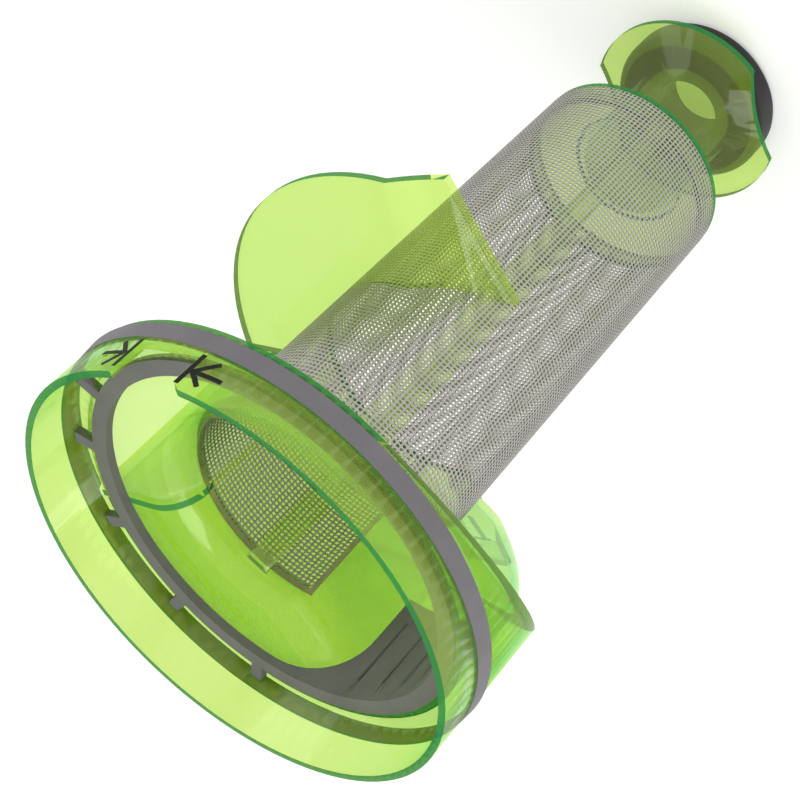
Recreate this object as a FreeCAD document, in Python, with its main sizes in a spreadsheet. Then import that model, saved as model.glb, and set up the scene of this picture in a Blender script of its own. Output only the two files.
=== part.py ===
import FreeCAD, Part

import math
import os
import re

import Sketcher
from FreeCAD import Placement, Rotation, Vector

# Cone filter of a bagless vacuum cleaner: an open collar at the top, a perforated steel
# tube below it, a spiral flight round the tube, and a spool with a rubber foot at the bottom.
# The frame stands on the foot: +Z runs up the axis, the origin is the centre of the foot's
# underside, and the front notch of the collar faces -Y. Lengths are in millimetres, angles in
# degrees, counter-clockwise seen from above. A depth is measured down from the collar's rim.

SIZES = {
    "collar_radius": 57.5,
    "collar_wall": 1.8,
    "collar_depth": 18.2,
    "ledge_wall": 1.8,
    "front_angle": -90.0,
    "notch_width": 16.8,
    "notch_depth": 10.2,
    "notch_chamfer": 1.8,
    "groove_width": 3.7,
    "cup_wall": 1.8,
    "cup_top": 14.8,
    "bell_radius": 9.6,
    "bell_skirt": 2.0,
    "ramp_direction": 220.0,
    "floor_depth": 58.5,
    "floor_tilt": 45.0,
    "floor_wall": 1.8,
    "floor_round": 8.0,
    "pocket_end_angle": 94.5,
    "pocket_round": 16.0,
    "end_wall_angle": 1.2,
    "end_wall": 1.8,
    "flight_depth": 77.0,
    "flight_wall": 1.8,
    "crease_angle": -96.4,
    "flap_tilt": 35.0,
    "flap_edge_angle": -107.8,
    "flap_tip_angle": -140.5,
    "screen_top": 26.0,
    "screen_top_radius": 28.9,
    "screen_end_radius": 26.9,
    "screen_wall": 0.35,
    "window_angle": 76.0,
    "rib_angle": 47.0,
    "rib_span": 12.6,
    "rib_wall": 1.6,
    "rib_rise": 2.0,
    "rib_proud": 0.2,
    "slot_margin": 3.0,
    "disc_depth": 172.0,
    "disc_radius": 27.0,
    "disc_wall": 1.8,
    "lip_height": 5.0,
    "lip_wall": 1.5,
    "neck_radius": 14.8,
    "neck_wall": 1.8,
    "neck_round": 4.0,
    "flange_depth": 205.5,
    "flange_radius": 27.7,
    "flange_wall": 1.8,
    "scallop_angle": 2.0,
    "scallop_radius": 50.0,
    "scallop_waist": 22.2,
    "foot_radius": 22.3,
    "foot_hole": 9.0,
    "foot_height": 10.5,
    "foot_round": 2.5,
    "gasket_top": 12.0,
    "gasket_height": 4.4,
    "gasket_groove": 0.9,
    "gasket_rise": 0.1,
    "gasket_lip": 0.6,
    "ring_top": 14.0,
    "ring_width": 4.2,
    "bridge_width": 3.2,
    "bridge_height": 2.2,
    "pad_angle": 118.5,
    "pad_width": 38.0,
    "pad_depth": 52.0,
    "pad_rise": 16.0,
    "pad_round": 6.0,
    "slit_top": 20.0,
    "slit_length": 20.0,
    "slit_width": 0.9,
    "slit_cut": 1.4,
    "slit_step": 10.0,
}
BRIDGE_ANGLES = (65.5, 37.5, 9.3, -18.6, -41.3)
SLITS = 5
DERIVED = {
    "total_height": "flange_depth + foot_height",
    "cup_radius": "collar_radius - collar_wall - groove_width",
}
height = SIZES["flange_depth"] + SIZES["foot_height"]
cup_outer = SIZES["collar_radius"] - SIZES["collar_wall"] - SIZES["groove_width"]
cup_inner = cup_outer - SIZES["cup_wall"]
bell_outer = SIZES["screen_top_radius"] + SIZES["ledge_wall"]
bell_inner = SIZES["screen_top_radius"] - SIZES["screen_wall"]
ledge_under = height - SIZES["collar_depth"]
ledge_top = ledge_under + SIZES["ledge_wall"]

doc = FreeCAD.newDocument("cone_filter")
sheet = doc.addObject("Spreadsheet::Sheet", "Sizes")
for row, (alias, size) in enumerate(SIZES.items(), start=1):
    sheet.set(f"A{row}", alias)
    sheet.set(f"B{row}", str(size))
    sheet.setAlias(f"B{row}", alias)
doc.recompute()


def bound(text):
    """The expression with sums of sizes written out and each size pointed at its cell."""
    for name, formula in DERIVED.items():
        text = re.sub(rf"\b{name}\b", f"({formula})", text)
    return re.sub(r"\b[a-z]+(?:_[a-z]+)+\b", lambda found: f"Sizes.{found.group(0)}", text)


def bind(item, **expressions):
    """Ties properties of an object to sizes in the sheet."""
    for name, text in expressions.items():
        item.setExpression(name, bound(text))
    return item


def sketch_outline(body, label, points, plane="XZ_Plane"):
    """A closed outline in one of the body's own planes, each corner placed by two expressions."""
    flat = next(item for item in body.Origin.OriginFeatures if item.Role == plane)
    sketch = body.newObject("Sketcher::SketchObject", label)
    sketch.AttachmentSupport = [(flat, "")]
    sketch.MapMode = "FlatFace"
    count = len(points)
    start = [Vector(10 * math.cos(k * math.tau / count), 10 * math.sin(k * math.tau / count), 0)
             for k in range(count)]
    for k in range(count):
        sketch.addGeometry(Part.LineSegment(start[k], start[(k + 1) % count]), False)
    for k in range(count):
        sketch.addConstraint(Sketcher.Constraint("Coincident", k, 2, (k + 1) % count, 1))
    for k, (across, up) in enumerate(points):
        for kind, place, text in (("DistanceX", start[k].x, across), ("DistanceY", start[k].y, up)):
            index = sketch.addConstraint(Sketcher.Constraint(kind, -1, 1, k, 1, place))
            sketch.setExpression(f"Constraints[{index}]", bound(text))
    return sketch


def turned(label, points):
    """A PartDesign body made by turning an outline of (radius, height) corners about the axis."""
    body = doc.addObject("PartDesign::Body", label)
    sketch = sketch_outline(body, f"{label}_outline", points)
    feature = body.newObject("PartDesign::Revolution", f"{label}_turn")
    feature.Profile = sketch
    feature.ReferenceAxis = (sketch, ["V_Axis"])
    feature.Angle = 360
    doc.recompute()
    return body


def prism(label, points, half_width, turn, base=None):
    """An outline of (distance, height) corners, padded both ways, turned and moved."""
    body = doc.addObject("PartDesign::Body", label)
    sketch = sketch_outline(body, f"{label}_outline", points)
    feature = body.newObject("PartDesign::Pad", f"{label}_pad")
    feature.Profile = sketch
    feature.Midplane = True
    bind(feature, Length=f"2 * ({half_width})")
    body.Placement = Placement(base or Vector(), Rotation(Vector(0, 0, 1), turn))
    doc.recompute()
    return body


def corners_at(body, distance, z):
    """Names of the edges that run along a padded outline's width at a distance and height."""
    names = []
    for number, edge in enumerate(body.Tip.Shape.Edges, start=1):
        middle = edge.valueAt((edge.FirstParameter + edge.LastParameter) / 2)
        if abs(middle.y) + abs(middle.x - distance) + abs(middle.z - z) < 0.01:
            names.append(f"Edge{number}")
    return names


def rounded(body, edges, radius):
    """A fillet on the chosen edges of a body's tip."""
    base = body.Tip
    feature = body.newObject("PartDesign::Fillet", f"{body.Label}_round")
    feature.Base = (base, edges)
    bind(feature, Radius=radius)
    doc.recompute()
    return body


def edges_where(shape, test):
    """Names of the edges whose middle passes the test of its radius from the axis and height."""
    names = []
    for number, edge in enumerate(shape.Edges, start=1):
        middle = edge.valueAt((edge.FirstParameter + edge.LastParameter) / 2)
        if test(math.hypot(middle.x, middle.y), middle.z, edge):
            names.append(f"Edge{number}")
    return names


def polar(radius, angle):
    """The point at a radius and an angle on the floor of the frame."""
    return Rotation(Vector(0, 0, 1), angle).multVec(Vector(radius, 0, 0))


def facing(start, end):
    """The angle of the line from one point to another."""
    line = end - start
    return math.degrees(math.atan2(line.y, line.x))


def cylinder(label, radius, top, bottom, start="0", sweep=None):
    """A cylinder between two depths, whole or a sector from one angle over a sweep."""
    item = doc.addObject("Part::Cylinder", label)
    item.Placement = Placement(Vector(), Rotation(Vector(0, 0, 1), 0))
    bind(item, Radius=radius, Height=f"({bottom}) - ({top})")
    bind(item, **{"Placement.Base.z": f"total_height - ({bottom})"})
    bind(item, **{"Placement.Rotation.Angle": start})
    if sweep:
        bind(item, Angle=sweep)
    return item


def plate(label, length, width, thickness, matrix):
    """A flat plate from its own corner, placed by a matrix of position and turn."""
    item = doc.addObject("Part::Box", label)
    item.Placement = matrix
    return bind(item, Length=length, Width=width, Height=thickness)


TUBE_SLOPE = "(screen_top_radius - screen_end_radius) / (disc_depth - screen_top)"
TUBE_END = "disc_depth - disc_wall"


def frustum(label, inset, top, bottom=TUBE_END, start="0", sweep=None):
    """The space inside the tapered tube's surface, inset by a wall, between two depths."""
    item = doc.addObject("Part::Cone", label)
    item.Placement = Placement(Vector(), Rotation(Vector(0, 0, 1), 0))
    bind(item, Radius1=f"screen_top_radius - ({bottom} - screen_top) * {TUBE_SLOPE} - ({inset})")
    bind(item, Radius2=f"screen_top_radius - ({top} - screen_top) * {TUBE_SLOPE} - ({inset})")
    bind(item, Height=f"{bottom} - ({top})")
    bind(item, **{"Placement.Base.z": f"total_height - ({bottom})"})
    bind(item, **{"Placement.Rotation.Angle": start})
    if sweep:
        bind(item, Angle=sweep)
    return item


def chained(kind, label, pieces):
    """Part booleans of one kind, each piece taken in turn."""
    whole = pieces[0]
    for number, piece in enumerate(pieces[1:], start=1):
        name = label if number == len(pieces) - 1 else f"{label}_step_{number}"
        item = doc.addObject(kind, name)
        item.Base, item.Tool = whole, piece
        whole = item
    return whole


def cut(label, *pieces):
    """The first piece less the others."""
    return chained("Part::Cut", label, pieces)


def fused(label, *pieces):
    """The pieces joined into one."""
    return chained("Part::Fuse", label, pieces)


def common(label, *pieces):
    """What the pieces share."""
    return chained("Part::Common", label, pieces)


# Lines of the two sloping planes, as a depth at a distance along the ramp's direction. The
# chin's line runs from the collar's back edge to the flight, the floor's through the axis.
CHIN_SLOPE = "(flight_depth - collar_depth) / (2 * collar_radius)"
FAR = "(collar_radius + 20)"


def chin_depth(distance, lift="0"):
    return f"collar_depth + (collar_radius - ({distance})) * {CHIN_SLOPE} - ({lift})"


def floor_depth(distance, lift="0"):
    return f"floor_depth - ({distance}) * tan(floor_tilt) - ({lift})"


def above_chin(label, lift):
    """The space above the chin's plane, lifted by a wall's upright height."""
    return prism(label, [
        (FAR, f"total_height - ({chin_depth(FAR, lift)})"),
        (FAR, "total_height + 30"),
        (f"-{FAR}", "total_height + 30"),
        (f"-{FAR}", f"total_height - ({chin_depth('-' + FAR, lift)})"),
    ], FAR, SIZES["ramp_direction"])


def above_floor(label, lift, stop):
    """The space above the floor's plane, lifted, and above a flat stop at the given depth."""
    corner = f"(floor_depth - ({lift}) - ({stop})) / tan(floor_tilt)"
    return prism(label, [
        (FAR, f"total_height - ({floor_depth(FAR, lift)})"),
        (FAR, "total_height + 60"),
        (f"-{FAR}", "total_height + 60"),
        (f"-{FAR}", f"total_height - ({stop})"),
        (corner, f"total_height - ({stop})"),
    ], FAR, SIZES["ramp_direction"])


# Green moulding: collar wall, ledge and the bell mouth that leads into the tube
collar = turned("collar_ring", [
    ("collar_radius", "total_height"),
    ("collar_radius", "total_height - collar_depth"),
    ("screen_top_radius + ledge_wall", "total_height - collar_depth"),
    ("screen_top_radius + ledge_wall", "total_height - screen_top - bell_skirt"),
    ("screen_top_radius - screen_wall", "total_height - screen_top - bell_skirt"),
    ("screen_top_radius - screen_wall", "total_height - collar_depth + ledge_wall"),
    ("collar_radius - collar_wall", "total_height - collar_depth + ledge_wall"),
    ("collar_radius - collar_wall", "total_height"),
])
rounded(collar, edges_where(collar.Tip.Shape, lambda radius, z, edge:
                            abs(radius - bell_outer) < 0.01 and abs(z - ledge_under) < 0.01),
        "bell_radius - ledge_wall")
rounded(collar, edges_where(collar.Tip.Shape, lambda radius, z, edge:
                            abs(radius - bell_inner) < 0.01 and abs(z - ledge_top) < 0.01),
        "bell_radius")

# Green moulding: the deep pocket, whose chin and floor slope round to the flight
SECTOR = ("end_wall_angle", "ramp_direction - end_wall_angle")
chin_band = cut("chin_band",
                cylinder("chin_outside", "collar_radius", "collar_depth - ledge_wall",
                         "flight_depth", *SECTOR),
                cylinder("chin_inside", "cup_radius - cup_wall", "0",
                         "flight_depth + 1"))
chin = common("chin", chin_band, above_chin("chin_space", "0"))
cup = common("cup",
             cylinder("cup_outside", "cup_radius", "collar_depth - ledge_wall",
                      "flight_depth + 1", *SECTOR),
             above_floor("cup_space", "0", "flight_depth"))
cavity = common("cavity",
                cylinder("cavity_round", "cup_radius - cup_wall", "-1",
                         "flight_depth", *SECTOR),
                above_floor("cavity_space", "floor_wall / cos(floor_tilt)",
                            "flight_depth - flight_wall"))
groove = common("groove",
                cut("groove_band",
                    cylinder("groove_outside", "collar_radius - collar_wall",
                             "-1", "flight_depth", *SECTOR),
                    cylinder("groove_inside", "cup_radius", "-2",
                             "flight_depth + 1")),
                above_chin("groove_space", "ledge_wall"))
cup_lip = cut("cup_lip",
              cylinder("cup_lip_outside", "cup_radius", "cup_top", "collar_depth"),
              cylinder("cup_lip_inside", "cup_radius - cup_wall", "0",
                       "collar_depth + 1"))
doc.recompute()


def floor_corner(shape, radius):
    """Edges of the pocket where its round wall meets the sloping floor or the flight."""
    chosen = []
    for number, edge in enumerate(shape.Edges, start=1):
        ends = [edge.valueAt(edge.FirstParameter), edge.valueAt(edge.LastParameter)]
        middle = edge.valueAt((edge.FirstParameter + edge.LastParameter) / 2)
        on_wall = all(abs(math.hypot(p.x, p.y) - radius) < 0.01 for p in ends + [middle])
        upright = abs(ends[0].z - ends[1].z) > 1 and ends[0].distanceToPoint(
            Vector(ends[1].x, ends[1].y, ends[0].z)) < 0.01
        if on_wall and not upright and middle.z < ledge_under:
            chosen.append(number)
    return chosen


def softened(label, base, radius, size):
    """The base with its lower outside corner rounded."""
    item = doc.addObject("Part::Fillet", label)
    item.Base = base
    item.Edges = [(number, size, size) for number in floor_corner(base.Shape, radius)]
    doc.recompute()
    return item


soft_cup = softened("soft_cup", cup, cup_outer, SIZES["floor_round"])
soft_cavity = softened("soft_cavity", cavity, cup_inner,
                       SIZES["floor_round"] - SIZES["floor_wall"])


# The pocket ends at an upright wall that runs from the tube's window out to the round wall,
# and the ledge rolls over into it
wall_start = polar(SIZES["screen_end_radius"], SIZES["window_angle"])
wall_turn = facing(wall_start, polar(cup_inner, SIZES["pocket_end_angle"])) + 90


def pocket_side(label, wall, size):
    """The space on the pocket's side of the upright wall and above the ledge, less a wall."""
    body = prism(label, [
        (f"-({wall})", "total_height - flight_depth - 1"),
        ("3 * collar_radius", "total_height - flight_depth - 1"),
        ("3 * collar_radius", "total_height + 20"),
        ("-(pocket_round + 1)", "total_height + 20"),
        ("-(pocket_round + 1)", f"total_height - collar_depth + ledge_wall - ({wall})"),
        (f"-({wall})", f"total_height - collar_depth + ledge_wall - ({wall})"),
    ], "2 * collar_radius", wall_turn, wall_start)
    thickness = SIZES["ledge_wall"] if wall == "ledge_wall" else 0
    return rounded(body, corners_at(body, -thickness, ledge_top - thickness), size)


pocket_open = pocket_side("pocket_open", "0", "pocket_round")
pocket_shut = pocket_side("pocket_shut", "ledge_wall", "pocket_round - ledge_wall")
mouth_space = turned("mouth_space", [
    ("0", "total_height - screen_top - bell_skirt"),
    ("screen_top_radius - screen_wall", "total_height - screen_top - bell_skirt"),
    ("screen_top_radius - screen_wall", "total_height - collar_depth + ledge_wall"),
    ("collar_radius - collar_wall", "total_height - collar_depth + ledge_wall"),
    ("collar_radius - collar_wall", "total_height + 5"),
    ("0", "total_height + 5"),
])
rounded(mouth_space, edges_where(mouth_space.Tip.Shape, lambda radius, z, edge:
                                 abs(radius - bell_inner) < 0.01 and abs(z - ledge_top) < 0.01),
        "bell_radius")
pocket_wall = cut("pocket_wall",
                  common("pocket_wall_stock", pocket_shut,
                         cylinder("pocket_wall_round", "cup_radius - cup_wall / 2",
                                  "0", "flight_depth", "end_wall_angle",
                                  "ramp_direction - end_wall_angle - 60")),
                  pocket_open, mouth_space)
doc.recompute()
pocket = common("pocket", soft_cavity, pocket_open)
shell = fused("shell",
              cut("shell_top", fused("shell_stock", collar, cup_lip), pocket, groove),
              cut("chin_channel", chin, groove),
              cut("cup_shell", soft_cup, soft_cavity),
              pocket_wall)

# Green moulding: the flat flight, its sloping end flap and the wall that shuts the pocket
flight_band = cut("flight_band",
                  cylinder("flight_round", "collar_radius", "flight_depth - flight_wall",
                           "flight_depth", "crease_angle",
                           "ramp_direction - 120 - crease_angle"),
                  cylinder("flight_core", "screen_end_radius", "0",
                           "flight_depth + 1"))
FLAP_FALL = "collar_radius * tan(flap_tilt)"
flap_plate = prism("flap_plate", [
    ("0", "total_height - flight_depth"),
    ("collar_radius", f"total_height - flight_depth - {FLAP_FALL}"),
    ("collar_radius",
     f"total_height - flight_depth - {FLAP_FALL} + flight_wall / cos(flap_tilt)"),
    ("flight_wall * (1 / cos(flap_tilt) - 1) / tan(flap_tilt)",
     "total_height - flight_depth + flight_wall"),
    ("0", "total_height - flight_depth + flight_wall"),
], "collar_radius", SIZES["crease_angle"] - 90)
flap_ring = cut("flap_ring",
                cylinder("flap_outside", "collar_radius", "flight_depth - 10",
                         "flight_depth + 60", "flap_tip_angle - 10",
                         "crease_angle - flap_tip_angle + 10"),
                cylinder("flap_core", "screen_end_radius", "0",
                         "flight_depth + 70"))
edge_point = polar(SIZES["collar_radius"], SIZES["flap_edge_angle"])
tip_point = polar(SIZES["screen_top_radius"], SIZES["flap_tip_angle"])
edge_turn = Rotation(Vector(0, 0, 1), facing(edge_point, tip_point))
flap_keep = plate("flap_keep", "4 * collar_radius", "4 * collar_radius", "total_height",
                  Placement(edge_point, edge_turn).multiply(
                      Placement(Vector(-2, -4, 0) * SIZES["collar_radius"], Rotation())))
flap = common("flap", flap_plate, flap_ring, flap_keep)
end_plate = cut("end_plate",
                common("end_plate_stock",
                       plate("end_plate_flat", "collar_radius + 10", "end_wall",
                             "flight_depth - collar_depth + ledge_wall",
                             Placement(Vector(0, 0, height - SIZES["flight_depth"]),
                                       Rotation(Vector(0, 0, 1), SIZES["end_wall_angle"]))),
                       cylinder("end_plate_round", "collar_radius", "0",
                                "flight_depth + 1")),
                mouth_space)

# Cuts in the moulding: the seat of the steel tube, the front notch, the seal's groove and slots
screen_seat = frustum("screen_seat", "0", "screen_top")
bore_seat = frustum("bore_seat", "screen_wall", "1")
seal_groove = turned("seal_groove", [
    ("collar_radius - gasket_groove", "total_height - gasket_top"),
    ("collar_radius - gasket_groove", "total_height - gasket_top - gasket_height"),
    ("collar_radius + 5", "total_height - gasket_top - gasket_height"),
    ("collar_radius + 5", "total_height - gasket_top"),
])
NOTCH_HALF = "notch_width / 2"
notch = prism("front_notch", [
    (f"-{NOTCH_HALF}", "total_height - notch_depth"),
    (NOTCH_HALF, "total_height - notch_depth"),
    (NOTCH_HALF, "total_height + 1"),
    (f"-({NOTCH_HALF} + notch_chamfer)", "total_height + 1"),
    (f"-({NOTCH_HALF} + notch_chamfer)", "total_height"),
    (f"-{NOTCH_HALF}", "total_height - notch_chamfer"),
], "collar_radius / 2", SIZES["front_angle"] + 90,
    polar(SIZES["collar_radius"], SIZES["front_angle"]))


def bridge(label, angle):
    """A bar of the seal from its ring out to the band, crossing the groove of the collar."""
    start = cup_inner - SIZES["ring_width"] / 2
    item = doc.addObject("Part::Box", label)
    turn = Rotation(Vector(0, 0, 1), angle)
    corner = Vector(start, -SIZES["bridge_width"] / 2,
                    height - SIZES["ring_top"] - SIZES["bridge_height"])
    item.Placement = Placement(turn.multVec(corner), turn)
    bind(item, Width="bridge_width", Height="bridge_height",
         Length="collar_radius - gasket_groove + 0.4 - cup_radius + cup_wall + ring_width / 2")
    return item


slots = [bridge(f"slot_{number}", angle) for number, angle in enumerate(BRIDGE_ANGLES, start=1)]
pierced = cut("pierced", fused("walls", shell, flight_band, flap, end_plate),
              screen_seat, bore_seat, seal_groove, notch, *slots)


# Green moulding: two ribs that fill slots of the steel tube, and the spool at its end
RIB_SWEEPS = {"back": "rib_angle - rib_span / 2", "front": "rib_angle + 180 - rib_span / 2"}
SLOT_TOP = "screen_top + slot_margin"
SLOT_END = "disc_depth - disc_wall - slot_margin"


def rib(label, start):
    """A strip inside the tube, a bar that fills the slot, and a root under the bell mouth."""
    sweep = {"start": start, "sweep": "rib_span"}
    top = "screen_top - rib_rise"
    strip = cut(f"{label}_strip",
                frustum(f"{label}_strip_outside", "screen_wall", top, **sweep),
                frustum(f"{label}_strip_inside", "screen_wall + rib_wall", f"({top} - 1)",
                        **sweep))
    bar = cut(f"{label}_bar",
              frustum(f"{label}_bar_outside", "-rib_proud", SLOT_TOP, SLOT_END,
                      **sweep),
              frustum(f"{label}_bar_inside", "screen_wall + rib_wall / 2", SLOT_TOP, SLOT_END,
                      **sweep))
    root = cut(f"{label}_root",
               cylinder(f"{label}_root_outside", "screen_top_radius + ledge_wall / 2", top,
                        "screen_top", **sweep),
               cylinder(f"{label}_root_inside",
                        "screen_top_radius - screen_wall - rib_wall / 2",
                        "0", "screen_top + 1"))
    return fused(label, strip, bar, root)


spool = turned("spool", [
    ("0", "total_height - disc_depth + disc_wall"),
    ("0", "total_height - disc_depth"),
    ("neck_radius - neck_wall", "total_height - disc_depth"),
    ("neck_radius - neck_wall", "total_height - flange_depth"),
    ("flange_radius", "total_height - flange_depth"),
    ("flange_radius", "total_height - flange_depth + flange_wall"),
    ("neck_radius", "total_height - flange_depth + flange_wall"),
    ("neck_radius", "total_height - disc_depth"),
    ("disc_radius", "total_height - disc_depth"),
    ("disc_radius", "total_height - disc_depth + disc_wall"),
])
neck_radius = SIZES["neck_radius"]
disc_under = height - SIZES["disc_depth"]
rounded(spool, edges_where(spool.Tip.Shape, lambda radius, z, edge:
                           abs(radius - neck_radius) < 0.01 and abs(z - disc_under) < 0.01),
        "neck_round")
LIP_RADIUS = "screen_end_radius - screen_wall"
lip = turned("disc_lip", [
    (f"{LIP_RADIUS} - lip_wall", "total_height - disc_depth + disc_wall"),
    (LIP_RADIUS, "total_height - disc_depth + disc_wall"),
    (LIP_RADIUS, "total_height - disc_depth + disc_wall + lip_height"),
    (f"{LIP_RADIUS} - lip_wall", "total_height - disc_depth + disc_wall + lip_height"),
])
scallops = []
for number, turn in enumerate((0, 180), start=1):
    angle = SIZES["scallop_angle"] + turn
    scallop = cylinder(f"scallop_{number}", "scallop_radius", "flange_depth - flange_wall - 1",
                       "flange_depth + 1")
    centre = Rotation(Vector(0, 0, 1), angle).multVec(
        Vector(SIZES["scallop_waist"] + SIZES["scallop_radius"], 0, 0))
    scallop.Placement = Placement(centre, Rotation())
    scallops.append(scallop)
tail = cut("tail", spool, *scallops)
ribs = [rib(f"rib_{name}", start) for name, start in RIB_SWEEPS.items()]
filter_body = fused("filter_body", fused("core", tail, lip, *ribs), pierced)

# Perforated steel tube: a tapered sleeve, open where the pocket leads into it
window = common("window",
                cylinder("window_round", "collar_radius", "0", "flight_depth",
                         "window_angle", "ramp_direction - window_angle"),
                above_floor("window_space", "floor_wall / cos(floor_tilt)",
                            "flight_depth - flight_wall"))
rib_slots = [cylinder(f"rib_slot_{name}", "screen_top_radius + 1", SLOT_TOP, SLOT_END, start,
                      "rib_span") for name, start in RIB_SWEEPS.items()]
screen = cut("screen", frustum("screen_outside", "0", "screen_top"),
             frustum("screen_inside", "screen_wall", "(screen_top - 1)"), window, *rib_slots)

# Soft grey seal: outer band, bridges, inner ring and finger pad, moulded as one
band = turned("seal_band", [
    ("collar_radius - gasket_groove", "total_height - gasket_top"),
    ("collar_radius - gasket_groove", "total_height - gasket_top - gasket_height"),
    ("collar_radius + gasket_lip", "total_height - gasket_top - gasket_height"),
    ("collar_radius + gasket_rise", "total_height - gasket_top"),
])
RING_OUTER = "cup_radius - cup_wall"
ring = turned("seal_ring", [
    (f"{RING_OUTER} - ring_width", "total_height - ring_top"),
    (f"{RING_OUTER} - ring_width", "total_height - collar_depth + ledge_wall"),
    (RING_OUTER, "total_height - collar_depth + ledge_wall"),
    (RING_OUTER, "total_height - ring_top"),
])
pad_outline = prism("pad_outline", [
    ("-(pad_width / 2 + pocket_round)", "total_height - ring_top"),
    ("-(pad_width / 2 + pocket_round)", "total_height - pad_depth"),
    ("pad_width / 2", "total_height - pad_depth + pad_rise"),
    ("pad_width / 2", "total_height - ring_top"),
], "collar_radius / 2", SIZES["pad_angle"] + 90,
    polar(SIZES["collar_radius"], SIZES["pad_angle"]))
rounded(pad_outline,
        corners_at(pad_outline, SIZES["pad_width"] / 2,
                   height - SIZES["pad_depth"] + SIZES["pad_rise"]), "pad_round")
pad_wall = cut("pad_wall",
               cylinder("pad_outside", RING_OUTER, "ring_top", "pad_depth"),
               cylinder("pad_inside", f"{RING_OUTER} - ring_width", "0",
                        "pad_depth + 1"))
pad = common("pad", pad_wall, pad_outline, pocket)
slits = []
for number in range(SLITS):
    angle = SIZES["pad_angle"] + (number - (SLITS - 1) / 2) * SIZES["slit_step"]
    turn = Rotation(Vector(0, 0, 1), angle)
    start = cup_inner - SIZES["ring_width"] - 1
    slit = plate(f"slit_{number + 1}", "slit_cut + 1", "slit_width", "slit_length",
                 Placement(turn.multVec(Vector(start, -SIZES["slit_width"] / 2,
                                               height - SIZES["slit_top"] - SIZES["slit_length"])),
                           turn))
    slits.append(slit)
bridges = [bridge(f"bridge_{number}", angle)
           for number, angle in enumerate(BRIDGE_ANGLES, start=1)]
seal = cut("seal", fused("seal_stock", band, ring, pad, *bridges), *slits)

# Rubber foot under the flange
foot = turned("rubber_foot", [
    ("foot_hole", "total_height - flange_depth"),
    ("foot_hole", "0"),
    ("foot_radius", "0"),
    ("foot_radius", "total_height - flange_depth"),
])
foot_radius = SIZES["foot_radius"]
rounded(foot, edges_where(foot.Tip.Shape, lambda radius, z, edge:
                          abs(radius - foot_radius) < 0.01 and
                          len(edge.Vertexes) == 1), "foot_round")

NODES = {"filter_body": filter_body, "screen": screen, "seal": seal, "rubber_foot": foot}
doc.recompute()
for item in doc.Objects:
    if "Invalid" in item.State or "Error" in item.State:
        raise RuntimeError(f"{item.Label} did not rebuild: {item.State}")
for label, item in NODES.items():
    item.Label = label
    if item.Shape.isNull() or not item.Shape.isValid():
        raise RuntimeError(f"{label} has no sound shape")

os.makedirs("parts", exist_ok=True)
for label, item in NODES.items():
    item.Shape.exportStep(f"parts/{label}.step")
    box = item.Shape.BoundBox
    print(label, len(item.Shape.Solids), round(item.Shape.Volume, 1), box)
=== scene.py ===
import math

import bmesh
import bpy
import numpy as np
from mathutils import Matrix, Vector
from mathutils.bvhtree import BVHTree


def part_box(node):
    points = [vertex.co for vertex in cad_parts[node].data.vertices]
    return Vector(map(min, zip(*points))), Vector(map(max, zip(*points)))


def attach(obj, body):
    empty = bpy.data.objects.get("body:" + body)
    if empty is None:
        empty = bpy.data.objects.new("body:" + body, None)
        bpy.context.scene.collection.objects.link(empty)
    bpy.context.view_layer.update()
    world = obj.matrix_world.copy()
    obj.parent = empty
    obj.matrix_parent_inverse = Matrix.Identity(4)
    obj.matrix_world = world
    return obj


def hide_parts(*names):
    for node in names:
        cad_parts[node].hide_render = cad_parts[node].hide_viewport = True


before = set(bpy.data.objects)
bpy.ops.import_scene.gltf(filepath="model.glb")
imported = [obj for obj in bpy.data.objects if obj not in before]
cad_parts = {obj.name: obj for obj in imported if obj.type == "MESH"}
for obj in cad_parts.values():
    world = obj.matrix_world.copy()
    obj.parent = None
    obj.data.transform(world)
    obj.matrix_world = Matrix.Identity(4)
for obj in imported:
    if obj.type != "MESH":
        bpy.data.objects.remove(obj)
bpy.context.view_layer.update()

bl_info = {
    "name": "Cone Filter",
    "version": (1, 0, 0),
    "blender": (4, 5, 0),
    "location": "View3D > Sidebar > Cone Filter",
    "description": "Dresses the cone filter: clear green moulding, perforated tube, grey seal",
    "category": "Object",
}

# Lengths are in millimetres and angles in degrees, unless a comment says otherwise. A depth is
# measured down from the collar's rim, a radius from the tube's axis, and an angle from the X
# axis, anticlockwise from above.

MM = 0.001
ROOT = "root"
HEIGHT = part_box("filter_body")[1][2]  # of the whole filter, in metres

# The perforated tube, its window to the pocket and the pocket's sloping floor
TUBE_TOP_DEPTH = 26.0
TUBE_END_DEPTH = 170.2
TUBE_TOP_RADIUS = 28.9
TUBE_SLOPE = 2.0 / 146.0
WINDOW_START = 76.0
WINDOW_END = 220.0
FLOOR_DEPTH = 58.5
FLOOR_TILT = 45.0
FLOOR_WALL = 1.8
SHEET_LIFT = 0.22
PLAIN_BORDER = 0.55  # width of the plain sheet along the window, as a share of the pitch
PITCH_DEPTH = 90.0  # where the holes round the tube are counted
PANELS = 5
FACE_LIMIT = 190000  # triangles in one panel
EMPTY, PLAIN, HOLED = 0, 1, 2  # what a cell of the sheet is
HOLE_SIDES = 6

# The moulding: its pocket, its sharp edges and the faces that count as narrow cut faces
POCKET_START = 18.1
POCKET_END = 74.5
POCKET_RADIUS = 51.5
SHARP_EDGE = 30.0
WELD_GAP = 2e-6  # in metres
SLIVER = 1e-6  # in metres
DEEP_PLASTIC = 3.4
UPRIGHT = 0.3  # upward part of the normal below which a face is upright
TALL_FACE = 4.0
ROOT_TOP = 24.0
ROOT_TOP_REACH = 0.1
CHIN_SLOPE = (-0.95, -0.8)  # upward part of the normal of the chin's underside
CHIN_INNER = 52.5
RAY_SHARE = 0.6  # how far from a face's middle to its corners its rays start
RAY_START = 1e-5  # how far under the face, in metres

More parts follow.
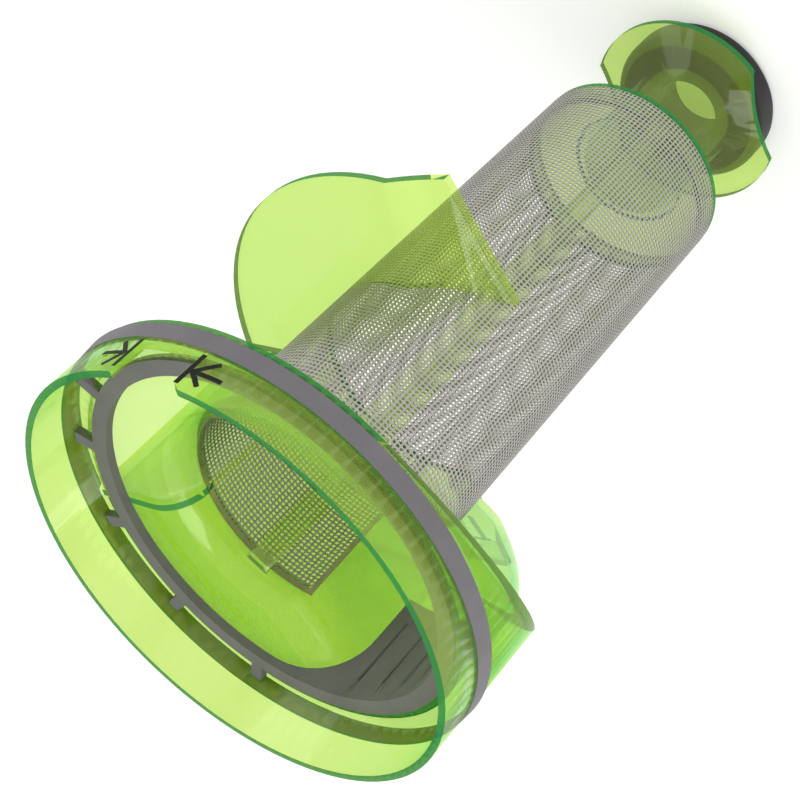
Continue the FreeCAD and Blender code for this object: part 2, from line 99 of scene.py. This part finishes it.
# Shares of light in the clear plastic: mirrored by a face seen straight on, added where it is
# seen edge on and how steeply, and taken by the green of a cut face
FACE_GLOSS = 0.03
RIM_GLOSS = 0.35
RIM_POWER = 5
CUT_COVER = 0.85

# The seal and the foot
SEAL_EASE = 0.02
FOOT_RADIUS = 22.3
FOOT_HOLE = 9.0
FOOT_HEIGHT = 10.5
FOOT_ROUND = 2.5
FOOT_ROUND_POINTS = 7
FOOT_SHARP_EDGE = 40.0

# The printed arrows: a bar, a shaft and two barbs each, from (angle, depth) to (angle, depth)
COLLAR_RADIUS = 57.5
INK_WIDTH = 1.15
INK_THICKNESS = 0.04
INK_GAP = 0.01
INK_STEP = 0.6
ARROWS = {
    "arrow_right": (
        ((-80.9, 2.4), (-80.9, 10.6)), ((-72.9, 6.5), (-79.6, 6.5)),
        ((-76.3, 10.1), (-79.8, 6.5)), ((-77.0, 2.6), (-79.8, 6.5))),
    "arrow_left": (
        ((-99.1, 2.0), (-99.1, 10.2)), ((-106.5, 6.0), (-100.2, 5.7)),
        ((-103.6, 9.6), (-100.0, 5.7)), ((-103.2, 2.9), (-100.0, 5.7))),
}

# The studio, in metres and watts. A lamp has a name, a place, a size and a power.
FLOOR_REACH = 6.0
WORLD_STRENGTH = 0.8
LAMPS = (("key", (-0.9, 0.5, 1.3), 1.0, 10.0), ("fill", (0.6, -1.1, 0.9), 0.9, 4.0))
LAMP_TARGET = (0.0, 0.0, 0.12)
CAMERA_PLACE = (-0.260879, -0.247998, 0.396531)
CAMERA_RIGHT = (-0.77994, 0.25036, -0.57360)
CAMERA_FORWARD = (0.59857, 0.56604, -0.56684)
CAMERA_CLIP = (0.01, 50.0)
CAMERA_LENS = 82.956  # in millimetres, as is the sensor
CAMERA_SENSOR = 36.0
CLEAR_FACES = 24  # clear faces that a line of sight may pass, one behind the other


def height_at(depth):
    """Height in metres of a point at a depth below the collar's rim."""
    return HEIGHT - depth * MM


# Mesh tools


def link_object(name, mesh):
    """A new object at the origin that shows a mesh."""
    obj = bpy.data.objects.new(name, mesh)
    bpy.context.scene.collection.objects.link(obj)
    return obj


def make_object(name, points, blocks, material, smooth=True):
    """A mesh object from an array of points in metres and blocks of faces, each block an array
    of faces with equally many corners."""
    mesh = bpy.data.meshes.new(name)
    mesh.from_pydata(points.tolist(), [], [face for block in blocks for face in block.tolist()])
    mesh.validate()
    if smooth:
        mesh.shade_smooth()
    mesh.materials.append(material)
    return link_object(name, mesh)


def grid_faces(rows, columns, closed=False):
    """Quads between neighbours of a grid of rows by columns, the last column joined to the
    first where it is closed: corners (i, j), (i, j+1), (i+1, j+1), (i+1, j)."""
    i = np.arange(rows - 1)[:, None]
    j = np.arange(columns if closed else columns - 1)[None, :]
    k = (j + 1) % columns
    corners = (i * columns + j, i * columns + k, (i + 1) * columns + k, (i + 1) * columns + j)
    return np.stack(np.broadcast_arrays(*corners), -1).reshape(-1, 4)


def lathe(name, profile, material, segments=160):
    """A ring turned from a closed (radius, height) profile in metres: point (r, z) at angle a
    stands at (r cos a, r sin a, z). The profile runs anticlockwise."""
    angles = np.linspace(0, math.tau, segments, endpoint=False)
    x = profile[:, 0, None] * np.cos(angles)
    y = profile[:, 0, None] * np.sin(angles)
    z = np.broadcast_to(profile[:, 1, None], x.shape)
    points = np.stack((x, y, z), -1).reshape(-1, 3)
    faces = grid_faces(len(profile) + 1, segments, closed=True) % len(points)
    return make_object(name, points, [faces[:, ::-1]], material)


def turn_outward(mesh):
    """Turns the faces of a closed mesh outwards."""
    work = bmesh.new()
    work.from_mesh(mesh)
    bmesh.ops.recalc_face_normals(work, faces=work.faces)
    work.to_mesh(mesh)
    work.free()


def smooth_copy(node, name, material):
    """A copy of a CAD node's mesh with its loose triangles joined, smooth but for its sharp
    edges."""
    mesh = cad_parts[node].data.copy()
    mesh.name = name
    work = bmesh.new()
    work.from_mesh(mesh)
    bmesh.ops.remove_doubles(work, verts=work.verts, dist=WELD_GAP)
    bmesh.ops.dissolve_degenerate(work, edges=work.edges, dist=SLIVER)
    work.to_mesh(mesh)
    work.free()
    mesh.shade_smooth()
    mesh.set_sharp_from_angle(angle=math.radians(SHARP_EDGE))
    mesh.materials.clear()
    mesh.materials.append(material)
    return link_object(name, mesh)


def mark_cut_faces(mesh, depth):
    """Stores on each face of a moulding whether plastic runs deep behind it, as it does behind
    the narrow cut faces of a wall: 1 where every ray sent straight in from points of the face
    meets no other face within the depth in metres, else 0. Tall upright faces stay 0, as they
    are broad walls that only seem deep where a ledge joins them, and so do the tops of the
    ribs' roots. The chin's sloping underside, which is seen edge on, is 1 throughout."""
    tree = BVHTree.FromPolygons([vertex.co for vertex in mesh.vertices],
                                [face.vertices for face in mesh.polygons])
    marks = np.zeros(len(mesh.polygons), dtype=np.float32)
    for face in mesh.polygons:
        corners = [mesh.vertices[k].co for k in face.vertices]
        middle = sum(corners, Vector()) / len(corners)
        heights = [corner.z for corner in corners]
        if abs(face.normal.z) < UPRIGHT and max(heights) - min(heights) > TALL_FACE * MM:
            continue
        radius = middle.xy.length / MM
        if CHIN_SLOPE[0] < face.normal.z < CHIN_SLOPE[1] and radius > CHIN_INNER:
            marks[face.index] = 1.0
            continue
        if abs((HEIGHT - middle.z) / MM - ROOT_TOP) < ROOT_TOP_REACH:
            continue
        points = [middle] + [middle.lerp(corner, RAY_SHARE) for corner in corners]
        hits = (tree.ray_cast(point - face.normal * RAY_START, -face.normal, depth)[0]
                for point in points)
        marks[face.index] = float(all(hit is None for hit in hits))
    mesh.attributes.new("cut_face", "FLOAT", "FACE").data.foreach_set("value", marks)


def seat(obj, slot, *nodes):
    """Rides a finished piece on the part's one body and hides the given CAD nodes. The slot is
    not used.
    """
    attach(obj, ROOT)
    if nodes:
        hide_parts(*nodes)


# Shader tools


class Value:
    """A shader socket that Python's own operators work on, each adding its Math node."""

    def __init__(self, graph, socket):
        self.graph = graph
        self.socket = socket

    def join(self, operation, other):
        return self.graph.add("ShaderNodeMath", {"operation": operation}, {0: self, 1: other})

    def __add__(self, other):
        return self.join("ADD", other)

    __radd__ = __add__

    def __mul__(self, other):
        return self.join("MULTIPLY", other)

    __rmul__ = __mul__

    def __pow__(self, other):
        return self.join("POWER", other)

    def __gt__(self, other):
        return self.join("GREATER_THAN", other)

    def __lt__(self, other):
        return self.join("LESS_THAN", other)


class Graph:
    """The node graph of one material."""

    def __init__(self, name):
        self.material = bpy.data.materials.new(name)
        self.material.use_nodes = True
        self.tree = self.material.node_tree
        self.tree.nodes.clear()
        self.output = self.tree.nodes.new("ShaderNodeOutputMaterial")

    def add(self, kind, settings=None, inputs=None, output=0):
        """Adds any node: its settings first, then the values or links of its sockets."""
        node = self.tree.nodes.new(kind)
        for name, setting in (settings or {}).items():
            setattr(node, name, setting)
        for name, item in (inputs or {}).items():
            self.feed(node.inputs[name], item)
        return Value(self, node.outputs[output])

    def feed(self, socket, item):
        """Links a value to a socket, or sets the socket's own number or colour."""
        if isinstance(item, Value):
            self.tree.links.new(item.socket, socket)
        elif isinstance(item, tuple) and len(item) == 3 and socket.type == "RGBA":
            socket.default_value = (*item, 1.0)
        else:
            socket.default_value = item

    def place(self):
        """Object coordinates, in metres."""
        return self.add("ShaderNodeTexCoord", output="Object")

    def axes(self):
        """The three object coordinates one by one, in metres."""
        first = self.add("ShaderNodeSeparateXYZ", inputs={"Vector": self.place()})
        return [Value(self, socket) for socket in first.socket.node.outputs]

    def noise(self, scale, detail=3.0, roughness=0.5, stretch=(1.0, 1.0, 1.0)):
        """Noise between 0 and 1 over object coordinates, stretched along an axis."""
        mapped = self.add("ShaderNodeMapping", inputs={"Vector": self.place(), "Scale": stretch})
        return self.add("ShaderNodeTexNoise", inputs={
            "Vector": mapped, "Scale": scale, "Detail": detail, "Roughness": roughness})

    def spread(self, value, low, high, start=0.3, end=0.7):
        """A value's range from start to end mapped to one from low to high."""
        return self.add("ShaderNodeMapRange", inputs={
            "Value": value, "From Min": start, "From Max": end, "To Min": low, "To Max": high})

    def mix(self, factor, first, second):
        """A colour between two. The Mix node has sockets of the same names for other types
        too: its colours are the inputs 6 and 7 and the output 2."""
        return self.add("ShaderNodeMix", {"data_type": "RGBA"},
                        {0: factor, 6: first, 7: second}, output=2)

    def blend(self, factor, first, second):
        """One shader where the factor is 0 and the other where it is 1."""
        return self.add("ShaderNodeMixShader", inputs={0: factor, 1: first, 2: second})

    def bump(self, value, strength, distance):
        """A bump normal from a value, its distance in metres."""
        return self.add("ShaderNodeBump", inputs={
            "Height": value, "Strength": strength, "Distance": distance})

    def principled(self, **inputs):
        """A Principled shader, its sockets named with _ for a space."""
        return self.add("ShaderNodeBsdfPrincipled", inputs={
            name.replace("_", " "): item for name, item in inputs.items()})

    def finish(self, surface, volume=None):
        """Gives the material its shaders and returns it."""
        self.feed(self.output.inputs["Surface"], surface)
        if volume:
            self.feed(self.output.inputs["Volume"], volume)
        return self.material


def scaled(colour, share):
    """A colour made lighter or darker."""
    return tuple(share * channel for channel in colour)


# Materials


def clear_green(look):
    """Clear tinted plastic: light goes straight through, loses colour at each face and more on
    a long way through the plastic. Each face scatters a little light and mirrors a little of
    the room, more at a glancing angle. The narrow cut faces are a deep green, and the pocket's
    walls, which are seen one behind the other, have a paler tint."""
    graph = Graph("clear_green_plastic")
    flow = graph.noise(scale=35.0, detail=2.0, roughness=0.4, stretch=(1.0, 1.0, 0.35))
    normal = graph.bump(flow, strength=0.1, distance=0.0004)
    haze = graph.spread(graph.noise(scale=90.0, detail=4.0), low=0.06, high=0.14)
    x, y, height = graph.axes()
    pocket = (height > height_at(POCKET_END)) * (height < height_at(POCKET_START))
    pocket = pocket * (x * x + y * y < (POCKET_RADIUS * MM) ** 2)
    tints = [graph.add("ShaderNodeBsdfTransparent", inputs={"Color": tuple(colour)})
             for colour in (look.plastic_tint, look.pocket_tint)]
    veil = graph.principled(
        Base_Color=tuple(look.plastic_veil), Roughness=0.9, Specular_IOR_Level=0.0)
    milky = graph.blend(look.plastic_haze, graph.blend(pocket, *tints), veil)
    gloss = graph.principled(
        Base_Color=(0.95, 1.0, 0.95), Metallic=1.0, Roughness=haze, Normal=normal)
    rim = graph.add("ShaderNodeLayerWeight", inputs={"Blend": 0.5, "Normal": normal},
                    output="Facing")
    wall = graph.blend(rim ** RIM_POWER * RIM_GLOSS + FACE_GLOSS, milky, gloss)
    deep = graph.principled(
        Base_Color=tuple(look.plastic_edge), Roughness=0.5, Specular_IOR_Level=0.0)
    cut = graph.add("ShaderNodeAttribute", {"attribute_name": "cut_face"}, output="Fac")
    depth_tint = graph.add("ShaderNodeVolumeAbsorption", inputs={
        "Color": tuple(look.plastic_depth), "Density": look.plastic_density})
    return graph.finish(graph.blend(cut * CUT_COVER, wall, deep), depth_tint)


def screen_steel(look):
    """Thin stainless sheet: rolled grain along the tube and a little handling haze."""
    graph = Graph("screen_steel")
    grain = graph.noise(scale=900.0, detail=2.0, stretch=(1.0, 1.0, 0.06))
    haze = graph.noise(scale=60.0)
    return graph.finish(graph.principled(
        Base_Color=graph.mix(haze, tuple(look.steel_colour), scaled(look.steel_colour, 0.82)),
        Metallic=1.0,
        Roughness=graph.spread(grain, low=0.28, high=0.45),
        Normal=graph.bump(grain, strength=0.25, distance=0.00005)))


def soft_rubber(name, colour, bloom, roughness=0.55):
    """Moulded rubber: a matt skin with fine grain and a faint dusty bloom, whose colour is the
    rubber's own with each channel times the bloom."""
    graph = Graph(name)
    dust = graph.spread(graph.noise(scale=120.0, detail=4.0), 0.0, 1.0, start=0.35, end=0.75)
    grain = graph.noise(scale=2600.0, detail=2.0)
    return graph.finish(graph.principled(
        Base_Color=graph.mix(dust, tuple(colour), scaled(colour, bloom)),
        Roughness=graph.spread(grain, low=roughness - 0.08, high=roughness + 0.1),
        Specular_IOR_Level=0.25,
        Normal=graph.bump(grain, strength=0.3, distance=0.00004)))


def print_ink():
    """Black pad-printed ink, slightly thin in places."""
    graph = Graph("print_ink")
    thin = graph.spread(graph.noise(scale=700.0, detail=4.0), 0.0, 1.0, start=0.4, end=0.8)
    return graph.finish(graph.principled(
        Base_Color=graph.mix(thin, (0.006, 0.007, 0.006), (0.02, 0.024, 0.016)),
        Roughness=0.6, Specular_IOR_Level=0.15))


def pale_floor():
    """Matt pale floor, slightly uneven, that glows a little so that it stays pale."""
    graph = Graph("pale_floor")
    shade = graph.spread(graph.noise(scale=3.0, detail=2.0), 0.0, 1.0)
    return graph.finish(graph.principled(
        Base_Color=graph.mix(shade, (0.78, 0.78, 0.78), (0.81, 0.81, 0.81)),
        Roughness=0.8, Emission_Color=(1.0, 1.0, 1.0), Emission_Strength=0.3))


# Sizes and colours that a user would change


class ConeFilterLook(bpy.types.PropertyGroup):
    hole_pitch: bpy.props.FloatProperty(
        name="Hole pitch", description="Distance between hole centres of the tube, in mm",
        default=1.2, min=0.8, max=4.0)
    hole_size: bpy.props.FloatProperty(
        name="Hole size", description="Width of a hole as a share of the pitch",
        default=0.8, min=0.2, max=0.85, subtype="FACTOR")
    sheet_wall: bpy.props.FloatProperty(
        name="Sheet thickness", description="Thickness of the steel sheet, in mm",
        default=0.2, min=0.1, max=0.5)
    plastic_tint: bpy.props.FloatVectorProperty(
        name="Plastic tint", description="Colour of one clear wall seen straight through",
        default=(0.835, 0.92, 0.51), size=3, subtype="COLOR", min=0.0, max=1.0)
    pocket_tint: bpy.props.FloatVectorProperty(
        name="Pocket tint", description="Colour of one clear wall of the pocket",
        default=(0.95, 0.965, 0.76), size=3, subtype="COLOR", min=0.0, max=1.0)
    plastic_depth: bpy.props.FloatVectorProperty(
        name="Plastic depth colour", description="Colour that long paths in the plastic keep",
        default=(0.30, 0.85, 0.45), size=3, subtype="COLOR", min=0.0, max=1.0)
    plastic_density: bpy.props.FloatProperty(
        name="Plastic density", description="How fast the plastic takes up light, per metre",
        default=80.0, min=0.0, max=5000.0)
    plastic_veil: bpy.props.FloatVectorProperty(
        name="Plastic veil", description="Colour of the light that the plastic scatters",
        default=(0.74, 0.92, 0.16), size=3, subtype="COLOR", min=0.0, max=1.0)
    plastic_haze: bpy.props.FloatProperty(
        name="Plastic haze", description="Share of the light that each face scatters",
        default=0.11, min=0.0, max=1.0, subtype="FACTOR")
    plastic_edge: bpy.props.FloatVectorProperty(
        name="Plastic edge colour", description="Colour of the narrow cut faces of the plastic",
        default=(0.02, 0.22, 0.06), size=3, subtype="COLOR", min=0.0, max=1.0)
    steel_colour: bpy.props.FloatVectorProperty(
        name="Steel colour", description="Colour of the perforated sheet",
        default=(0.42, 0.40, 0.37), size=3, subtype="COLOR", min=0.0, max=1.0)
    seal_colour: bpy.props.FloatVectorProperty(
        name="Seal colour", description="Colour of the grey seal",
        default=(0.145, 0.138, 0.145), size=3, subtype="COLOR", min=0.0, max=1.0)
    foot_colour: bpy.props.FloatVectorProperty(
        name="Foot colour", description="Colour of the rubber foot",
        default=(0.012, 0.012, 0.012), size=3, subtype="COLOR", min=0.0, max=1.0)
    light_power: bpy.props.FloatProperty(
        name="Light power", description="Share of the studio light's usual power",
        default=1.0, min=0.0, max=4.0, subtype="FACTOR")


def look_of(context):
    """The filter's own settings in a scene."""
    return context.scene.cone_filter_look


# The perforated tube


def tube_radius(depth):
    """Radius of the tube's outer surface at a depth: a straight taper."""
    return TUBE_TOP_RADIUS - (depth - TUBE_TOP_DEPTH) * TUBE_SLOPE


def floor_top(angle, radius):
    """Depth of the pocket floor's upper face at an angle and a radius: a tilted plane that is
    highest towards the window's end."""
    tilt = math.radians(FLOOR_TILT)
    along = radius * np.cos(np.radians(angle - WINDOW_END))
    return FLOOR_DEPTH - along * math.tan(tilt) - FLOOR_WALL / math.cos(tilt)


def cell_state(angle, depth, pitch):
    """What each cell of the sheet is, from arrays of their middles. Cells are empty where the
    tube opens to the pocket, and plain along that window and in the tube's top row."""
    radius = tube_radius(depth)
    reach = pitch * PLAIN_BORDER
    side = np.degrees(reach / radius)
    floor = floor_top(angle, radius)
    state = np.full(angle.shape, HOLED)
    state[depth < TUBE_TOP_DEPTH + pitch] = PLAIN
    state[(angle > WINDOW_START - side) & (angle < WINDOW_END + side)
          & (depth < floor + reach)] = PLAIN
    state[(angle > WINDOW_START) & (angle < WINDOW_END) & (depth < floor)] = EMPTY
    return state


def tube_points(angle, depth, inset):
    """Points on the tapered tube, inset from its outer face, at angles and depths: radius r at
    angle a stands at (r cos a, r sin a). The sheet lies just over the ribs that fill its slots,
    so that it runs on unbroken."""
    radius = (tube_radius(depth) + SHEET_LIFT - inset) * MM
    turn = np.radians(angle)
    return np.stack((radius * np.cos(turn), radius * np.sin(turn), height_at(depth)), -1)


def fan(square, ring):
    """Faces between the four corners of each cell and the six points of its hole: four quads
    and two triangles a cell, as two arrays. Low and up are along the depth."""
    low_left, low_right, up_left, up_right = square
    quads = [np.stack(corners, -1) for corners in (
        (low_right, up_right, ring[:, 1], ring[:, 0]),
        (up_right, up_left, ring[:, 2], ring[:, 1]),
        (up_left, low_left, ring[:, 4], ring[:, 3]),
        (low_left, low_right, ring[:, 5], ring[:, 4]))]
    triangles = [np.stack(corners, -1) for corners in (
        (up_left, ring[:, 3], ring[:, 2]),
        (low_right, ring[:, 0], ring[:, 5]))]
    return np.concatenate(quads), np.concatenate(triangles)


def outline_walls(solid, half):
    """Quads that close the sheet along each side where a solid cell has none beside it. Corner
    (i, j) of the outer face has the number i * (columns + 1) + j, and the inner face's corner
    behind it the same number plus half."""
    rows, columns = solid.shape
    padded = np.pad(solid, 1)
    walls = []
    for down, right, first, second in (
            (0, 1, (0, 1), (1, 1)), (0, -1, (1, 0), (0, 0)),
            (1, 0, (1, 1), (1, 0)), (-1, 0, (0, 0), (0, 1))):
        beside = padded[1 + down:1 + down + rows, 1 + right:1 + right + columns]
        row, column = np.nonzero(solid & ~beside)
        one, two = ((row + corner[0]) * (columns + 1) + column + corner[1]
                    for corner in (first, second))
        walls.append(np.stack((one, two, two + half, one + half), -1))
    return np.concatenate(walls)


def perforated_panel(name, angles, depths, look, material):
    """A panel of the sheet over a grid of angles and depths. Each cell is a square with a
    six-sided hole: its outer and inner faces are fans between the square's corners and the
    hole, and a wall joins the two rings of the hole."""
    step_a = angles[1] - angles[0]
    step_d = depths[1] - depths[0]
    middle_a, middle_d = np.meshgrid(angles[:-1] + step_a / 2, depths[:-1] + step_d / 2)
    state = cell_state(middle_a, middle_d, look.hole_pitch)

    corners = np.meshgrid(angles, depths)
    holed = state == HOLED
    turn = np.arange(HOLE_SIDES) * math.tau / HOLE_SIDES
    reach = look.hole_size / 2
    rings = (middle_a[holed][:, None] + step_a * reach * np.cos(turn),
             middle_d[holed][:, None] + step_d * reach * np.sin(turn))
    points = np.concatenate([tube_points(*places, inset).reshape(-1, 3)
                             for places in (corners, rings) for inset in (0.0, look.sheet_wall)])

    wide = len(angles)
    half = corners[0].size
    row, column = np.nonzero(holed)
    base = row * wide + column
    square = np.stack((base, base + 1, base + wide, base + wide + 1))
    outer = 2 * half + np.arange(rings[0].size).reshape(-1, HOLE_SIDES)
    inner = outer + rings[0].size
    outer_quads, outer_triangles = fan(square, outer)
    inner_quads, inner_triangles = fan(square + half, inner)
    wall = np.stack((outer, np.roll(outer, -1, 1), np.roll(inner, -1, 1), inner), -1)

    row, column = np.nonzero(state == PLAIN)
    base = row * wide + column
    plain = np.stack((base, base + wide, base + wide + 1, base + 1), -1)
    quads = np.concatenate((outer_quads[:, ::-1], inner_quads, wall.reshape(-1, 4), plain,
                            plain[:, ::-1] + half, outline_walls(state != EMPTY, half)))
    triangles = np.concatenate((outer_triangles[:, ::-1], inner_triangles))
    used = np.unique(np.concatenate((quads.ravel(), triangles.ravel())))
    blocks = [np.searchsorted(used, block) for block in (quads, triangles)]
    return make_object(name, points[used], blocks, material, smooth=False)


class CONEFILTER_OT_screen(bpy.types.Operator):
    """Make the perforated tube in panels, with real holes"""
    bl_idname = "conefilter.screen"
    bl_label = "Perforated tube"

    def execute(self, context):
        look = look_of(context)
        material = screen_steel(look)
        rows = round((TUBE_END_DEPTH - TUBE_TOP_DEPTH) / look.hole_pitch)
        around = round(math.tau * tube_radius(PITCH_DEPTH) / look.hole_pitch)
        each = around // PANELS
        depths = np.linspace(TUBE_TOP_DEPTH, TUBE_END_DEPTH, rows + 1)
        angles = np.linspace(0.0, 360.0, each * PANELS + 1)
        for number in range(PANELS):
            part = angles[number * each:(number + 1) * each + 1]
            panel = perforated_panel(f"screen_panel_{number + 1}", part, depths, look, material)
            triangles = sum(len(face.vertices) - 2 for face in panel.data.polygons)
            if triangles > FACE_LIMIT:
                raise RuntimeError(f"{panel.name} has {triangles} triangles")
            seat(panel, "screen_steel", "screen")
        return {"FINISHED"}


# The mouldings


class CONEFILTER_OT_body(bpy.types.Operator):
    """Give the clear green moulding smooth faces and its tinted plastic"""
    bl_idname = "conefilter.body"
    bl_label = "Green moulding"

    def execute(self, context):
        body = smooth_copy("filter_body", "clear_moulding", clear_green(look_of(context)))
        mark_cut_faces(body.data, DEEP_PLASTIC * MM)
        seat(body, "body_plastic", "filter_body")
        return {"FINISHED"}


class CONEFILTER_OT_seal(bpy.types.Operator):
    """Give the grey seal its soft skin, clear of the moulding's faces"""
    bl_idname = "conefilter.seal"
    bl_label = "Grey seal"

    def execute(self, context):
        material = soft_rubber("seal_rubber", look_of(context).seal_colour, bloom=1.15)
        seal = smooth_copy("seal", "grey_seal", material)
        for vertex in seal.data.vertices:
            vertex.co -= vertex.normal * SEAL_EASE * MM
        seat(seal, "seal_rubber", "seal")
        return {"FINISHED"}


class CONEFILTER_OT_foot(bpy.types.Operator):
    """Make the black rubber foot with its rolled edges"""
    bl_idname = "conefilter.foot"
    bl_label = "Rubber foot"

    def execute(self, context):
        material = soft_rubber(
            "foot_rubber", look_of(context).foot_colour, bloom=2.2, roughness=0.5)
        turn = np.linspace(0.0, math.pi / 2, FOOT_ROUND_POINTS)
        side = FOOT_RADIUS - FOOT_ROUND
        low = np.stack((side + FOOT_ROUND * np.sin(turn), FOOT_ROUND * (1 - np.cos(turn))), -1)
        high = low[::-1] * (1, -1) + (0, FOOT_HEIGHT)
        profile = np.concatenate((((FOOT_HOLE, 0.0),), low, high, ((FOOT_HOLE, FOOT_HEIGHT),)))
        foot = lathe("black_foot", profile * MM, material)
        foot.data.set_sharp_from_angle(angle=math.radians(FOOT_SHARP_EDGE))
        seat(foot, "foot_rubber", "rubber_foot")
        return {"FINISHED"}


# The printed marks


def stroke(start, end):
    """Points and faces of one printed line on the collar, from (angle, depth) to (angle,
    depth): a strip laid along the line and wrapped on the cylinder, with a thin closed edge. A
    point that lies s along the cylinder's face from the X axis stands at the angle s / radius."""
    scale = math.radians(1.0) * COLLAR_RADIUS
    a = np.array([start[0] * scale, start[1]])
    b = np.array([end[0] * scale, end[1]])
    length = np.linalg.norm(b - a)
    along = (b - a) / length
    across = np.array([-along[1], along[0]])
    steps = max(2, int(length / INK_STEP) + 1)
    share = np.linspace(-INK_WIDTH / 2, length + INK_WIDTH / 2, steps)
    rails = []
    for side, out in ((-0.5, INK_THICKNESS), (0.5, INK_THICKNESS), (0.5, 0.0), (-0.5, 0.0)):
        flat = a + share[:, None] * along + side * INK_WIDTH * across
        turn = flat[:, 0] / COLLAR_RADIUS
        radius = (COLLAR_RADIUS + INK_GAP + out) * MM
        rails.append(np.stack((radius * np.cos(turn), radius * np.sin(turn),
                               height_at(flat[:, 1])), -1))
    points = np.stack(rails, 1).reshape(-1, 3)
    last = len(points) - 1
    caps = ((0, 1, 2, 3), (last, last - 1, last - 2, last - 3))
    return points, np.concatenate((grid_faces(steps, len(rails), closed=True), caps))


class CONEFILTER_OT_marks(bpy.types.Operator):
    """Print the two plain arrows with their bars on the collar"""
    bl_idname = "conefilter.marks"
    bl_label = "Arrow marks"

    def execute(self, context):
        material = print_ink()
        for name, lines in ARROWS.items():
            points, blocks = np.empty((0, 3)), []
            for start, end in lines:
                more, faces = stroke(start, end)
                blocks.append(faces + len(points))
                points = np.concatenate((points, more))
            mark = make_object(name, points, blocks, material, smooth=False)
            turn_outward(mark.data)
            seat(mark, "foot_rubber")
        return {"FINISHED"}


# The studio


class CONEFILTER_OT_stage(bpy.types.Operator):
    """Set the pale floor, the soft light and the camera of the photograph"""
    bl_idname = "conefilter.stage"
    bl_label = "Studio"

    def execute(self, context):
        scene = context.scene
        corners = FLOOR_REACH * np.array([[-1, -1, 0], [1, -1, 0], [1, 1, 0], [-1, 1, 0]])
        floor = make_object(
            "floor", corners, [np.array([[0, 1, 2, 3]])], pale_floor(), smooth=False)

        world = bpy.data.worlds.new("studio")
        world.use_nodes = True
        sky = world.node_tree.nodes["Background"]
        sky.inputs["Color"].default_value = (1, 1, 1, 1)
        sky.inputs["Strength"].default_value = WORLD_STRENGTH
        scene.world = world
        for name, place, size, watts in LAMPS:
            light = bpy.data.lights.new(name, "AREA")
            light.size = size
            light.energy = watts * look_of(context).light_power
            lamp = bpy.data.objects.new(name, light)
            lamp.location = place
            aim = Vector(LAMP_TARGET) - Vector(place)
            lamp.rotation_euler = aim.to_track_quat("-Z", "Y").to_euler()
            scene.collection.objects.link(lamp)

        lens = bpy.data.cameras.new("camera")
        lens.sensor_width = CAMERA_SENSOR
        lens.lens = CAMERA_LENS
        lens.clip_start, lens.clip_end = CAMERA_CLIP
        camera = bpy.data.objects.new("camera", lens)
        right = Vector(CAMERA_RIGHT).normalized()
        forward = Vector(CAMERA_FORWARD).normalized()
        up = right.cross(forward).normalized()
        turn = Matrix((right, up, -forward)).transposed().to_4x4()
        camera.matrix_world = Matrix.Translation(CAMERA_PLACE) @ turn
        scene.collection.objects.link(camera)
        scene.camera = camera
        scene.view_settings.view_transform = "Standard"
        scene.cycles.transparent_max_bounces = CLEAR_FACES
        return {"FINISHED"}


STEPS = (CONEFILTER_OT_body, CONEFILTER_OT_screen, CONEFILTER_OT_seal, CONEFILTER_OT_foot,
         CONEFILTER_OT_marks, CONEFILTER_OT_stage)


class CONEFILTER_PT_panel(bpy.types.Panel):
    bl_idname = "CONEFILTER_PT_panel"
    bl_label = "Cone Filter"
    bl_space_type = "VIEW_3D"
    bl_region_type = "UI"
    bl_category = "Cone Filter"

    def draw(self, context):
        look = look_of(context)
        for name in ConeFilterLook.__annotations__:
            self.layout.prop(look, name)
        for step in STEPS:
            self.layout.operator(step.bl_idname)


CLASSES = (ConeFilterLook, *STEPS, CONEFILTER_PT_panel)


def register():
    for item in CLASSES:
        bpy.utils.register_class(item)
    bpy.types.Scene.cone_filter_look = bpy.props.PointerProperty(type=ConeFilterLook)


def unregister():
    del bpy.types.Scene.cone_filter_look
    for item in reversed(CLASSES):
        bpy.utils.unregister_class(item)


def main():
    register()
    for step in STEPS:
        group, name = step.bl_idname.split(".")
        getattr(getattr(bpy.ops, group), name)()


if __name__ == "__main__":
    main()
